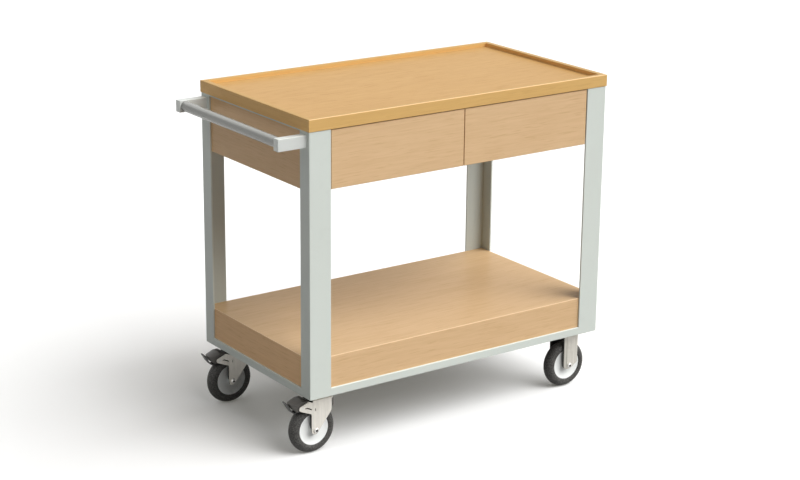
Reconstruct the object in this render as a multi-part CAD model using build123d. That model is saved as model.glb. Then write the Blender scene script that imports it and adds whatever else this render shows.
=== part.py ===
"""Serving trolley: angle-steel frame, wooden tray top, two drawers, boxed lower shelf, push handle
and four casters, two of them swivelling with a foot brake.

Millimetres, +Z up, floor at z = 0. The front faces -Y and the handle is at the -X end. The pieces are
drawn about the middle of the four posts and moved along X at the end, so that the origin is the middle
of the whole trolley's footprint.
"""

import os

from build123d import *

# Overall sizes
FRAME_LENGTH = 900.0
FRAME_WIDTH = 500.0
POST_HEIGHT = 663.0
TOP_OVERHANG = 1.5

# Angle steel of the frame
STEEL = 4.0
ARRIS_R = 1.5
POST_FRONT_FLANGE = 60.0
POST_END_FLANGE = 40.0
RAIL_HEIGHT = 20.0
RAIL_FLANGE = 30.0
RAIL_EDGE_R = 2.0
CORNER_PLATE = 6.0
CORNER_PLATE_MARGIN = 11.0
CORNER_PLATE_CUT = 30.0
TOP_RAIL = 3.0
TOP_RAIL_WIDTH = 40.0

# Tray top
TRAY_BOARD = 20.0
LIP_RISE = 10.0
LIP_WIDTH = 15.0
LIP_EDGE_R = 1.2
TRAY_SCREW_R = 2.25
TRAY_SCREW_DEPTH = 14.0
TRAY_SCREW_HEAD_R = 4.5
TRAY_SCREW_HEAD = 3.0
TRAY_SCREW_SPACING = 140.0
TRAY_SCREWS_A_SIDE = 3

# Boards of the drawer case and the lower shelf
BOARD = 18.0
CASE_DROP = 145.0
DIVIDER_LIFT = 14.0
SHELF_TOP = 100.0
SHELF_EDGE = 1.0

# Drawers
FACE_SETBACK = 1.0
FACE_SIDE_GAP = 2.2
FACE_CENTRE_GAP = 2.0
FACE_TOP_GAP = 2.0
FACE_EDGE = 0.8
GRIP_R = 9.0
DRAWER_SIDE = 12.0
DRAWER_BOTTOM = 6.0
DRAWER_HEIGHT = 110.0
DRAWER_LIFT = 17.0
DRAWER_BACK_GAP = 35.0
GROOVE_LIFT = 8.0
GROOVE_DEPTH = 5.0
GROOVE_FIT = 0.2

# Drawer runners
RUNNER_SPACE = 12.0
RUNNER_STEEL = 1.5
RUNNER_HEIGHT = 36.0
RUNNER_CHANNEL = 9.5
RUNNER_SETBACK = 5.0
RUNNER_LENGTH = 400.0
RUNNER_FIT = 0.3
RUNNER_END_FIT = 0.5
PACKER_HEIGHT = 44.0

# Handle
HANDLE_REACH = 78.0
HANDLE_BAR_D = 26.0
HANDLE_BAR_WALL = 2.5
HANDLE_BAR_INSET = 16.0
BRACKET_HEIGHT = 30.0
BRACKET_WIDTH = 20.0
BRACKET_DROP = 8.0
BRACKET_EDGE = 1.2
BRACKET_SCREW_R = 3.0
BRACKET_SCREW_HEAD_R = 5.5
BRACKET_SCREW_HEAD = 3.2
BRACKET_SCREW_DEPTH = 25.0
BRACKET_SCREW_SPACING = 16.0

# Caster wheels
WHEEL_D = 125.0
TYRE_CROWN_R = 17.5
TYRE_SHOULDER = 11.5
TYRE_DEPTH = 21.5
RIM_HALF_WIDTH = 13.0
RIM_LIP = 1.6
WEB_HALF = 10.8
HUB_R = 9.5
HUB_BOSS = 4.0
HUB_FLARE_R = 14.0
AXLE_R = 4.0
AXLE_HEAD_R = 7.0
AXLE_HEAD = 4.4
AXLE_HEAD_EDGE_R = 3.5
AXLE_SOCKET = 6.0
AXLE_SOCKET_DEPTH = 3.2
AXLE_NUT_HEX = 13.0
AXLE_NUT = 6.5
AXLE_TAIL = 1.5

# Caster plates, swivel heads and forks
CASTER_INSET_X = 65.0
CASTER_INSET_Y = 52.0
PLATE_LENGTH = 105.0
PLATE_WIDTH = 85.0
PLATE = 4.0
PLATE_CORNER_R = 9.0
BOLT_SPACING_X = 80.0
BOLT_SPACING_Y = 60.0
BOLT_R = 4.0
BOLT_HOLE_R = 4.5
BOLT_HEX = 13.0
BOLT_HEAD = 4.0
FORK_STEEL = 2.5
FORK_GAP = 42.0
FORK_BEND_R = 1.5
CROWN_GAP = 14.5
RACE_HEIGHT = 11.0
RACE_R = 25.0
RACE_WALL = 2.5
RACE_BOSS_R = 13.0
RACE_STEP = 3.0
KINGPIN_R = 7.0
KINGPIN_HEAD_R = 12.0
KINGPIN_HEAD = 4.0
TRAIL = 30.0
LEG_FRONT = 12.3
LEG_END = 10.5
LEG_END_R = 9.5
LEG_TOE = 1.8
LEG_TOE_R = 7.5
LEG_LIP_LIFT = 6.0
LEG_TYRE_GAP = 0.8
HOOD_BACK = 31.0
HOOD_FRONT = -38.0
HOOD_DEPTH = 16.5
HOOD_EDGE_R = 20.0
ROUND_END = 0.999

# Pedal ears of a swivel fork, and their two slots, each as points (along, up) from the pin
PIN_X = -68.0
PIN_DROP = 15.0
PIN_R = 3.0
PIN_FLARE_R = 4.2
PIN_FLARE = 1.5
EAR_POINT = 20.5
EAR_TIP_R = 6.5
EAR_TOP_X = -50.0
EAR_TOP_R = 5.0
EAR_NOTCH = 6.0
EAR_NOTCH_R = 1.0
EAR_DEPTH = 35.0
EAR_ROOT_R = 2.0
STOP_SLOT = ((7.5, -1.9), (12.3, -1.0), (26.2, -8.0))
STOP_SLOT_WIDTH = 2.8
SPRING_SLOT = ((36.9, -6.0), (36.9, -13.6))
SPRING_SLOT_WIDTH = 2.0

# Pedal, brake lever and shoe, with outlines given from the pin as (along, up, corner radius)
PEDAL_TRAVEL = 15.0
PEDAL_SIDE_FIT = 1.0
PEDAL_CROWN_DROP = 6.0
PEDAL_SIDE = (
    (22.0, -1.0, 0.0),
    (22.0, 13.0, 4.0),
    (10.0, 20.5, 8.0),
    (1.0, 22.0, 12.0),
    (-27.0, 10.1, 3.0),
    (-22.0, 0.5, 5.0),
    (-13.5, -8.0, 5.0),
    (-5.0, -8.5, 4.0),
)
LEVER_WIDTH = 16.0
LEVER_STEEL = 2.6
LEVER_HUB_R = 7.0
LEVER_LINE = ((-6.0, -10.5), (-12.5, -15.0), (-18.5, -11.5), (-26.5, -1.5), (-38.0, 17.5))
LEVER_BENDS = (5.0, 5.0, 6.0)
SHOE_ALONG = -4.0
SHOE_UP = -8.0
SHOE_GAP = 0.5

# Fork of a fixed caster
FIXED_LEG_FRONT = 16.8
FIXED_LEG_BACK = 30.5
FIXED_LEG_END = 9.0
FIXED_LEG_END_R = 9.0
FIXED_LEG_HEEL = 3.0
FIXED_LEG_TAPER = 6.0
FIXED_LEG_BEND_R = 4.0
FIXED_PAD = 1.8
FIXED_PAD_FRONT = 7.0
FIXED_PAD_BACK = 13.0
FIXED_PAD_FLANK = 4.0
FIXED_DIMPLE_R = 5.0
FIXED_DIMPLE = 0.7
FIXED_DIMPLES = (43.8, 56.9)

# Clearances
RUN_FIT = 0.05
FIXED_FIT = 0.05
SWIVEL_FIT = 0.5
HEAD_FIT = 0.2

# Places worked out from the sizes above
WHEEL_R = WHEEL_D / 2
RIM_R = WHEEL_R - TYRE_DEPTH
TYRE_DROP = (TYRE_CROWN_R**2 - TYRE_SHOULDER**2) ** 0.5
TYRE_SHOULDER_R = WHEEL_R - TYRE_CROWN_R + TYRE_DROP
CROWN_TOP = WHEEL_D + CROWN_GAP + FORK_STEEL
BASE_Z = CROWN_TOP + RACE_HEIGHT + PLATE
TOP_Z = BASE_Z + POST_HEIGHT
END_X = FRAME_LENGTH / 2
SIDE_Y = FRAME_WIDTH / 2
CASTER_X = END_X - CASTER_INSET_X
CASTER_Y = SIDE_Y - CASTER_INSET_Y
IN_X = END_X - STEEL
IN_Y = SIDE_Y - STEEL
BOARD_X = IN_X - BOARD
BOARD_Y = IN_Y - BOARD
CASE_Z = TOP_Z - CASE_DROP
SHELF_Z = BASE_Z + CORNER_PLATE
DECK_Z = BASE_Z + SHELF_TOP
PLATE_INNER_X = CASTER_X - PLATE_LENGTH / 2 - CORNER_PLATE_MARGIN
PLATE_INNER_Y = CASTER_Y - PLATE_WIDTH / 2 - CORNER_PLATE_MARGIN
TRAY_X = END_X + TOP_OVERHANG
TRAY_Y = SIDE_Y + TOP_OVERHANG
BRACKET_Y = SIDE_Y - POST_END_FLANGE / 2
BRACKET_Z = TOP_Z - BRACKET_DROP - BRACKET_HEIGHT / 2
HANDLE_END_X = -END_X - HANDLE_REACH
BAR_X = HANDLE_END_X + HANDLE_BAR_INSET
FACE_FRONT_Y = -SIDE_Y + FACE_SETBACK
FACE_BACK_Y = FACE_FRONT_Y + BOARD
FACE_OUTER_X = END_X - POST_FRONT_FLANGE - FACE_SIDE_GAP
BOX_OUTER_X = END_X - POST_FRONT_FLANGE - RUNNER_SPACE
BOX_INNER_X = BOARD / 2 + RUNNER_SPACE
BOX_BACK_Y = BOARD_Y - DRAWER_BACK_GAP
DRAWER_Z = CASE_Z + DRAWER_LIFT
RUNNER_Z = DRAWER_Z + DRAWER_HEIGHT / 2
RUNNER_FRONT_Y = FACE_BACK_Y + RUNNER_SETBACK
FORK_OUT_Y = FORK_GAP / 2 + FORK_STEEL
PIN_Z = CROWN_TOP - PIN_DROP
HEAD_Y = FORK_OUT_Y + FIXED_PAD
ORIGIN_SHIFT = (TRAY_X + HANDLE_END_X) / -2


def block(x, y, z):
    """Box between a low and a high plane on each axis."""
    size = [high - low for low, high in (x, y, z)]
    return Pos(x[0], y[0], z[0]) * Box(*size, align=(Align.MIN, Align.MIN, Align.MIN))


def outline(*corners):
    """Closed face through corners given as (across, up, corner radius)."""
    points = [(across, up) for across, up, _ in corners]
    radii = [radius for _, _, radius in corners]
    return make_face(FilletPolyline(*points, radius=radii, close=True))


def along_x(face, low, high):
    """Face drawn in (y, z), extruded from x = low to x = high."""
    return extrude(Plane.YZ.offset(low) * face, high - low, dir=(1, 0, 0))


def along_y(face, low, high):
    """Face drawn in (x, z), extruded from y = low to y = high."""
    return extrude(Plane.XZ.offset(-low) * face, high - low, dir=(0, 1, 0))


def along_z(face, low, high):
    """Face drawn in (x, y), extruded from z = low to z = high."""
    return extrude(Plane.XY.offset(low) * face, high - low, dir=(0, 0, 1))


def rod_x(radius, x, y, z):
    """Round rod along X between the two values of x."""
    return along_x(Pos(y, z) * Circle(radius), *x)


def rod_y(radius, x, y, z):
    """Round rod along Y between the two values of y."""
    return along_y(Pos(x, z) * Circle(radius), *y)


def rod_z(radius, x, y, z):
    """Round rod along Z between the two values of z."""
    return along_z(Pos(x, y) * Circle(radius), *z)


def hexagon(across_flats):
    """Hexagon of a bolt head or nut, by its spanner size."""
    return RegularPolygon(across_flats / 2, 6, major_radius=False)


def group(shapes):
    """Separate solids kept together as one node."""
    return Compound([solid for shape in shapes for solid in shape.solids()])


def both_ends(shape):
    """The piece and its mirror image at the other end of the trolley."""
    return [shape, mirror(shape, Plane.YZ)]


def both_sides(shape):
    """The piece and its mirror image at the other side of the trolley."""
    return [shape, mirror(shape, Plane.XZ)]


def four_corners(shape):
    """The piece and its mirror images at the other three corners."""
    return [copy for end in both_ends(shape) for copy in both_sides(end)]


def caster_bolt_places():
    """Bolt centres of one caster plate, about the plate's centre."""
    return [(x * BOLT_SPACING_X / 2, y * BOLT_SPACING_Y / 2) for x in (-1, 1) for y in (-1, 1)]


def bracket_screw_places():
    """Heights of the two screws that hold a handle bracket."""
    return [BRACKET_Z + up * BRACKET_SCREW_SPACING / 2 for up in (-1, 1)]


def tray_screw_places():
    """Screw centres in the left top rail."""
    x = -(BOARD_X + END_X - TOP_RAIL_WIDTH) / 2
    middle = (TRAY_SCREWS_A_SIDE - 1) / 2
    return [(x, (i - middle) * TRAY_SCREW_SPACING) for i in range(TRAY_SCREWS_A_SIDE)]


# Frame


def post():
    """Right-hand back post: an unequal angle with its arris at the outer corner."""
    section = outline(
        (END_X, SIDE_Y, ARRIS_R),
        (END_X, SIDE_Y - POST_END_FLANGE, 0),
        (IN_X, SIDE_Y - POST_END_FLANGE, 0),
        (IN_X, IN_Y, 0),
        (END_X - POST_FRONT_FLANGE, IN_Y, 0),
        (END_X - POST_FRONT_FLANGE, SIDE_Y, 0),
    )
    return along_z(section, BASE_Z, TOP_Z)


def handle_post():
    """Left-hand back post, with countersunk holes for the handle bracket's screws."""
    body = mirror(post(), Plane.YZ)
    for z in bracket_screw_places():
        body -= bracket_screw(BRACKET_Y, z, FIXED_FIT)
    return body


def rounded_rail(upright, outwards):
    """A base rail's upright with its upper outer edge rounded."""
    top = upright.faces().sort_by(Axis.Z)[-1]
    return fillet(top.edges().sort_by(outwards)[-1], RAIL_EDGE_R)


def long_rail():
    """Back base rail: an upright between the posts, its lower flange between the corner plates."""
    reach = END_X - POST_FRONT_FLANGE
    upright = rounded_rail(block((-reach, reach), (IN_Y, SIDE_Y), (BASE_Z, BASE_Z + RAIL_HEIGHT)), Axis.Y)
    flange = block((-PLATE_INNER_X, PLATE_INNER_X), (SIDE_Y - RAIL_FLANGE, SIDE_Y), (BASE_Z, BASE_Z + STEEL))
    return upright + flange


def short_rail():
    """Right-hand base rail, made like the long ones."""
    reach = SIDE_Y - POST_END_FLANGE
    upright = rounded_rail(block((IN_X, END_X), (-reach, reach), (BASE_Z, BASE_Z + RAIL_HEIGHT)), Axis.X)
    flange = block((END_X - RAIL_FLANGE, END_X), (-PLATE_INNER_Y, PLATE_INNER_Y), (BASE_Z, BASE_Z + STEEL))
    return upright + flange


def corner_plate():
    """Plate in the right-hand back corner of the base, tapped for the caster bolts."""
    face = outline(
        (IN_X, IN_Y, 0),
        (PLATE_INNER_X, IN_Y, 0),
        (PLATE_INNER_X, PLATE_INNER_Y + CORNER_PLATE_CUT, 0),
        (PLATE_INNER_X + CORNER_PLATE_CUT, PLATE_INNER_Y, 0),
        (IN_X, PLATE_INNER_Y, 0),
    )
    body = along_z(face, BASE_Z, SHELF_Z)
    for x, y in caster_bolt_places():
        body -= rod_z(BOLT_R + FIXED_FIT, CASTER_X + x, CASTER_Y + y, (BASE_Z, SHELF_Z))
    return body


def top_rail():
    """Flat bar across the left end, under the tray."""
    reach = SIDE_Y - POST_END_FLANGE
    body = block((-END_X, -END_X + TOP_RAIL_WIDTH), (-reach, reach), (TOP_Z - TOP_RAIL, TOP_Z))
    for x, y in tray_screw_places():
        body -= rod_z(TRAY_SCREW_R + FIXED_FIT, x, y, (TOP_Z - TOP_RAIL, TOP_Z))
    return body


# Tray top


def tray_board():
    """Board of the tray, between the lips, with pilot holes for its screws."""
    x, y = TRAY_X - LIP_WIDTH, TRAY_Y - LIP_WIDTH
    body = block((-x, x), (-y, y), (TOP_Z, TOP_Z + TRAY_BOARD))
    for hole_x, hole_y in tray_screw_places():
        pilot = rod_z(TRAY_SCREW_R + FIXED_FIT, hole_x, hole_y, (TOP_Z, TOP_Z + TRAY_SCREW_DEPTH))
        for hole in both_ends(pilot):
            body -= hole
    return body


def lip_section(outer):
    """Section of a lip, drawn as (outwards, up), with eased top and lower outer edges."""
    top = TOP_Z + TRAY_BOARD + LIP_RISE
    return outline(
        (outer - LIP_WIDTH, TOP_Z, 0),
        (outer, TOP_Z, LIP_EDGE_R),
        (outer, top, LIP_EDGE_R),
        (outer - LIP_WIDTH, top, LIP_EDGE_R),
    )


def mitred(half_x, half_y, inset, z, long_side):
    """Prism with mitred ends, which cuts a back board, or a right-hand one, to length."""
    in_x, in_y = half_x - inset, half_y - inset
    if long_side:
        corners = ((-half_x, half_y), (half_x, half_y), (in_x, in_y), (-in_x, in_y))
    else:
        corners = ((half_x, -half_y), (half_x, half_y), (in_x, in_y), (in_x, -in_y))
    return along_z(outline(*[(*corner, 0) for corner in corners]), *z)


def long_lip():
    """Back lip of the tray."""
    z = (TOP_Z, TOP_Z + TRAY_BOARD + LIP_RISE)
    return along_x(lip_section(TRAY_Y), -TRAY_X, TRAY_X) & mitred(TRAY_X, TRAY_Y, LIP_WIDTH, z, True)


def short_lip():
    """Right-hand lip of the tray."""
    z = (TOP_Z, TOP_Z + TRAY_BOARD + LIP_RISE)
    return along_y(lip_section(TRAY_X), -TRAY_Y, TRAY_Y) & mitred(TRAY_X, TRAY_Y, LIP_WIDTH, z, False)


def tray_screws():
    """Round-headed screws from the left top rail up into the tray board."""
    rail_z = TOP_Z - TOP_RAIL
    screws = []
    for x, y in tray_screw_places():
        head = rod_z(TRAY_SCREW_HEAD_R, x, y, (rail_z - TRAY_SCREW_HEAD, rail_z))
        shank = rod_z(TRAY_SCREW_R, x, y, (rail_z, TOP_Z + TRAY_SCREW_DEPTH))
        head = fillet(head.edges().sort_by(Axis.Z)[0], TRAY_SCREW_HEAD / 2)
        screws.append(head + shank)
    return screws


# Drawer case


def end_panel():
    """Left end panel, behind the posts' short flanges and under the top rail."""
    return block((-IN_X, -BOARD_X), (-IN_Y, IN_Y), (CASE_Z, TOP_Z - TOP_RAIL))


def back_panel():
    """Back panel between the end panels."""
    return block((-BOARD_X, BOARD_X), (BOARD_Y, IN_Y), (CASE_Z, TOP_Z))


def centre_divider():
    """Board between the drawers, which carries a runner on each face."""
    y, z = (FACE_BACK_Y + FACE_SIDE_GAP, BOARD_Y), (CASE_Z + DIVIDER_LIFT, TOP_Z)
    return block((-BOARD / 2, BOARD / 2), y, z)


def runner_packer():
    """Strip that brings the left runner in past the post."""
    front = FACE_BACK_Y + RUNNER_SETBACK
    height = (RUNNER_Z - PACKER_HEIGHT / 2, RUNNER_Z + PACKER_HEIGHT / 2)
    return block((-BOARD_X, -BOX_OUTER_X - RUNNER_SPACE), (front, front + RUNNER_LENGTH), height)


def channel(x, height):
    """Channel along a drawer's side, drawn in (x, z): web at x[0], open towards x[1]."""
    web, mouth = x
    inner = web + (RUNNER_STEEL if mouth > web else -RUNNER_STEEL)
    low, high = RUNNER_Z - height / 2, RUNNER_Z + height / 2
    face = outline(
        (web, low, 0),
        (mouth, low, 0),
        (mouth, low + RUNNER_STEEL, 0),
        (inner, low + RUNNER_STEEL, 0),
        (inner, high - RUNNER_STEEL, 0),
        (mouth, high - RUNNER_STEEL, 0),
        (mouth, high, 0),
        (web, high, 0),
    )
    return along_y(face, RUNNER_FRONT_Y, RUNNER_FRONT_Y + RUNNER_LENGTH)


def cabinet_runners():
    """Fixed members of the left drawer's two runners, on the packer and on the divider."""
    outer = -BOX_OUTER_X - RUNNER_SPACE
    inner = -BOARD / 2
    return [
        channel((outer, outer + RUNNER_CHANNEL), RUNNER_HEIGHT),
        channel((inner, inner - RUNNER_CHANNEL), RUNNER_HEIGHT),
    ]


# Drawers, drawn as the left one


def drawer_front():
    """Drawer front with eased edges, a groove for the bottom and a finger grip along its lower back edge."""
    x = (-FACE_OUTER_X, -FACE_CENTRE_GAP / 2)
    body = block(x, (FACE_FRONT_Y, FACE_BACK_Y), (CASE_Z, TOP_Z - FACE_TOP_GAP))
    body = chamfer(body.faces().sort_by(Axis.Y)[0].edges(), FACE_EDGE)
    body -= rod_x(GRIP_R, x, FACE_BACK_Y, CASE_Z)
    return body - groove_cut()


def bottom_place(fit):
    """Box of the drawer's bottom, grown by the groove's clearance."""
    z = DRAWER_Z + GROOVE_LIFT
    reach = DRAWER_SIDE - GROOVE_DEPTH
    return block(
        (-BOX_OUTER_X + reach - fit, -BOX_INNER_X - reach + fit),
        (FACE_BACK_Y - GROOVE_DEPTH - fit, BOX_BACK_Y),
        (z - fit, z + DRAWER_BOTTOM + fit),
    )


def groove_cut():
    """Cutter of the groove that the bottom slides into from the back."""
    return bottom_place(GROOVE_FIT)


def drawer_bottom():
    """Thin bottom, held in the grooves of the front and sides."""
    return bottom_place(0)


def drawer_sides():
    """Both sides, full height, grooved for the bottom."""
    y, z = (FACE_BACK_Y, BOX_BACK_Y), (DRAWER_Z, DRAWER_Z + DRAWER_HEIGHT)
    left = block((-BOX_OUTER_X, -BOX_OUTER_X + DRAWER_SIDE), y, z)
    right = block((-BOX_INNER_X - DRAWER_SIDE, -BOX_INNER_X), y, z)
    return [left - groove_cut(), right - groove_cut()]


def drawer_back():
    """Back between the sides, standing on the bottom."""
    low = DRAWER_Z + GROOVE_LIFT + DRAWER_BOTTOM + GROOVE_FIT
    return block(
        (-BOX_OUTER_X + DRAWER_SIDE, -BOX_INNER_X - DRAWER_SIDE),
        (BOX_BACK_Y - DRAWER_SIDE, BOX_BACK_Y),
        (low, DRAWER_Z + DRAWER_HEIGHT),
    )


def drawer_runners():
    """Moving members of the left drawer's runners, on the drawer's sides."""
    height = RUNNER_HEIGHT - 2 * (RUNNER_STEEL + RUNNER_FIT)
    reach = RUNNER_SPACE - RUNNER_STEEL - RUNNER_END_FIT
    return [
        channel((-BOX_OUTER_X, -BOX_OUTER_X - reach), height),
        channel((-BOX_INNER_X, -BOX_INNER_X + reach), height),
    ]


# Lower shelf


def shelf_body():
    """Outer form of the boxed shelf, with its top edges eased."""
    body = block((-IN_X, IN_X), (-IN_Y, IN_Y), (SHELF_Z, DECK_Z))
    return chamfer(body.faces().sort_by(Axis.Z)[-1].edges(), SHELF_EDGE)


def skirt_section(half):
    """Section of a skirt board, drawn as (outwards, up), mitred under the deck."""
    return outline(
        (half, SHELF_Z, 0),
        (half, DECK_Z, 0),
        (half - BOARD, DECK_Z - BOARD, 0),
        (half - BOARD, SHELF_Z, 0),
    )


def long_skirt():
    """Back skirt of the shelf."""
    board = along_x(skirt_section(IN_Y), -IN_X, IN_X) & mitred(IN_X, IN_Y, BOARD, (SHELF_Z, DECK_Z), True)
    return board & shelf_body()


def short_skirt():
    """Right-hand skirt of the shelf."""
    board = along_y(skirt_section(IN_X), -IN_Y, IN_Y) & mitred(IN_X, IN_Y, BOARD, (SHELF_Z, DECK_Z), False)
    return board & shelf_body()


def shelf_deck():
    """Deck board, mitred into the skirts on all four edges."""
    top = Plane.XY.offset(DECK_Z) * Rectangle(2 * IN_X, 2 * IN_Y)
    bottom = Plane.XY.offset(DECK_Z - BOARD) * Rectangle(2 * BOARD_X, 2 * BOARD_Y)
    return loft([bottom, top], ruled=True) & shelf_body()


# Handle


def bracket_screw(y, z, fit):
    """Countersunk screw from inside the left end flange out into a bracket, grown by a clearance."""
    head_end = -IN_X - BRACKET_SCREW_HEAD
    tip = -END_X - BRACKET_SCREW_DEPTH - fit
    head = Plane.YZ.offset(-IN_X) * Pos(y, z) * Circle(BRACKET_SCREW_HEAD_R + fit)
    neck = Plane.YZ.offset(head_end) * Pos(y, z) * Circle(BRACKET_SCREW_R + fit)
    return loft([neck, head], ruled=True) + rod_x(BRACKET_SCREW_R + fit, (tip, head_end), y, z)


def handle_bracket():
    """Back bracket: a flat bar with eased edges standing out from the post."""
    y = (BRACKET_Y - BRACKET_WIDTH / 2, BRACKET_Y + BRACKET_WIDTH / 2)
    z = (BRACKET_Z - BRACKET_HEIGHT / 2, BRACKET_Z + BRACKET_HEIGHT / 2)
    body = block((HANDLE_END_X, -END_X), y, z)
    root = body.faces().sort_by(Axis.X)[-1].edges()
    body = fillet([edge for edge in body.edges() if edge not in root], BRACKET_EDGE)
    for height in bracket_screw_places():
        body -= bracket_screw(BRACKET_Y, height, FIXED_FIT)
    return body


def handle_bar():
    """Round tube between the brackets."""
    reach = BRACKET_Y - BRACKET_WIDTH / 2
    tube = rod_y(HANDLE_BAR_D / 2, BAR_X, (-reach, reach), BRACKET_Z)
    return tube - rod_y(HANDLE_BAR_D / 2 - HANDLE_BAR_WALL, BAR_X, (-reach, reach), BRACKET_Z)


# Wheels, drawn about their own centre with the axle along Y


def spun(*edges):
    """Closed profile drawn as (along the axle, radius), turned about the axle."""
    return revolve(Plane.YZ * make_face(Curve() + [*edges]), Axis.Y)


def tyre():
    """Rubber tyre with a round tread and sides that draw in to the rim."""
    seat_l, seat_r = (-RIM_HALF_WIDTH, RIM_R), (RIM_HALF_WIDTH, RIM_R)
    left, right = (-TYRE_SHOULDER, TYRE_SHOULDER_R), (TYRE_SHOULDER, TYRE_SHOULDER_R)
    return spun(
        Line(seat_l, seat_r),
        TangentArc(right, seat_r, tangent=(TYRE_DROP, -TYRE_SHOULDER)),
        ThreePointArc(left, (0, WHEEL_R), right),
        TangentArc(left, seat_l, tangent=(-TYRE_DROP, -TYRE_SHOULDER)),
    )


def tyre_half_width():
    """Half the width over the tyre's bulging sides, each an arc from the tread's shoulder to the rim."""
    chord = Vector(RIM_HALF_WIDTH - TYRE_SHOULDER, RIM_R - TYRE_SHOULDER_R)
    inwards = Vector(-TYRE_SHOULDER, -TYRE_DROP) * (1 / TYRE_CROWN_R)
    side_r = chord.dot(chord) / (2 * chord.dot(inwards))
    return TYRE_SHOULDER + side_r * (1 - TYRE_SHOULDER / TYRE_CROWN_R)


def hub():
    """Dished wheel centre: bored boss, smooth concave web and a rim with a raised lip."""
    bore, end = AXLE_R + RUN_FIT, FORK_GAP / 2 - SWIVEL_FIT
    boss = end - HUB_BOSS
    lip_r = RIM_R - RIM_LIP
    web_r = (lip_r + HUB_FLARE_R) / 2
    flare = WEB_HALF + RIM_LIP
    half = []
    for side in (-1, 1):
        half += [
            Line((0, bore), (side * end, bore)),
            Line((side * end, bore), (side * end, HUB_R)),
            Line((side * end, HUB_R), (side * boss, HUB_R)),
            Line((side * boss, HUB_R), (side * flare, HUB_FLARE_R)),
            ThreePointArc(
                (side * flare, HUB_FLARE_R), (side * WEB_HALF, web_r), (side * RIM_HALF_WIDTH, lip_r)
            ),
            Line((side * RIM_HALF_WIDTH, lip_r), (side * RIM_HALF_WIDTH, RIM_R)),
            Line((side * RIM_HALF_WIDTH, RIM_R), (0, RIM_R)),
        ]
    return spun(*half)


def axle_bolt_and_nut(seat):
    """Button-head bolt through both fork legs and the hub, and its nut at the back."""
    tail = seat + AXLE_NUT + AXLE_TAIL
    head = rod_y(AXLE_HEAD_R, 0, (-seat - AXLE_HEAD, -seat), 0)
    head = fillet(head.edges().sort_by(Axis.Y)[0], AXLE_HEAD_EDGE_R)
    head -= along_y(hexagon(AXLE_SOCKET), -seat - AXLE_HEAD, -seat - AXLE_HEAD + AXLE_SOCKET_DEPTH)
    bolt = head + rod_y(AXLE_R, 0, (-seat, tail), 0)
    nut = along_y(hexagon(AXLE_NUT_HEX), seat, seat + AXLE_NUT)
    return [bolt, nut - rod_y(AXLE_R + FIXED_FIT, 0, (seat, tail), 0)]


# Caster bodies, drawn about the plate's centre with the floor at z = 0


def caster_plate():
    """Top plate with rounded corners and four bolt holes."""
    body = along_z(RectangleRounded(PLATE_LENGTH, PLATE_WIDTH, PLATE_CORNER_R), BASE_Z - PLATE, BASE_Z)
    for x, y in caster_bolt_places():
        body -= rod_z(BOLT_HOLE_R, x, y, (BASE_Z - PLATE, BASE_Z))
    return body


def caster_bolts():
    """Hexagon bolts from under a caster plate up into the corner plate."""
    low = BASE_Z - PLATE
    bolts = []
    for x, y in caster_bolt_places():
        head = along_z(Pos(x, y) * hexagon(BOLT_HEX), low - BOLT_HEAD, low)
        bolts.append(head + rod_z(BOLT_R, x, y, (low, SHELF_Z)))
    return bolts


def ring(inner, outer, z):
    """Upright ring between two heights."""
    return rod_z(outer, 0, 0, z) - rod_z(inner, 0, 0, z)


def swivel_plate():
    """Plate of a swivel caster with the outer ball race hanging under it."""
    low = BASE_Z - PLATE
    race = ring(RACE_R - RACE_WALL, RACE_R, (CROWN_TOP + SWIVEL_FIT, low))
    race = fillet(race.edges().sort_by(Axis.Z)[0:2].sort_by(SortBy.RADIUS)[-1:], RACE_WALL / 2)
    bore = rod_z(KINGPIN_R + FIXED_FIT, 0, 0, (low, BASE_Z))
    return caster_plate() + race - bore


def kingpin():
    """Headed pin riveted into the plate, which the fork turns on."""
    head_top = CROWN_TOP - FORK_STEEL - HEAD_FIT
    head = rod_z(KINGPIN_HEAD_R, 0, 0, (head_top - KINGPIN_HEAD, head_top))
    head = chamfer(head.edges().sort_by(Axis.Z)[0], KINGPIN_HEAD / 3)
    return head + rod_z(KINGPIN_R, 0, 0, (head_top, BASE_Z))


def from_pin(corners):
    """Outline corners measured from the pedal pin, moved to the caster's frame."""
    return [(PIN_X + along, PIN_Z + up, *radius) for along, up, *radius in corners]


def swivel_fork_outline():
    """Side view of the swivel fork: pedal ear, straight leading edge, trailing edge up to the hood."""
    front, low = -TRAIL - LEG_FRONT, WHEEL_R - LEG_END
    return outline(
        (HOOD_FRONT, CROWN_TOP, 0),
        (HOOD_FRONT - FORK_STEEL / 2, CROWN_TOP - EAR_NOTCH, EAR_NOTCH_R),
        (EAR_TOP_X, CROWN_TOP - SWIVEL_FIT, EAR_TOP_R),
        (PIN_X - EAR_POINT, PIN_Z, EAR_TIP_R),
        (front, CROWN_TOP - EAR_DEPTH, EAR_ROOT_R),
        (front, low, LEG_END_R),
        (-TRAIL + LEG_TOE, low, LEG_TOE_R),
        (HOOD_BACK, CROWN_TOP - HOOD_DEPTH, HOOD_EDGE_R),
        (HOOD_BACK, CROWN_TOP, 0),
    )


def hood(half, back, top, bend):
    """Solid hood over the wheel, rounded in plan at the back, with rounded upper edges."""
    front = HOOD_FRONT
    end_r = half * ROUND_END
    plan = outline((front, -half, 0), (back, -half, end_r), (back, half, end_r), (front, half, 0))
    body = along_z(plan, 0, top)
    rim = body.faces().sort_by(Axis.Z)[-1].edges().sort_by(Axis.X)[1:]
    return fillet(rim, bend)


def leg_lip():
    """Turned-in leading edge of the back leg, which stiffens it."""
    front = -TRAIL - LEG_FRONT
    z = (WHEEL_R + LEG_LIP_LIFT, CROWN_TOP - EAR_DEPTH)
    return block((front, front + FORK_STEEL), (tyre_half_width() + LEG_TYRE_GAP, FORK_GAP / 2), z)


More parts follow.
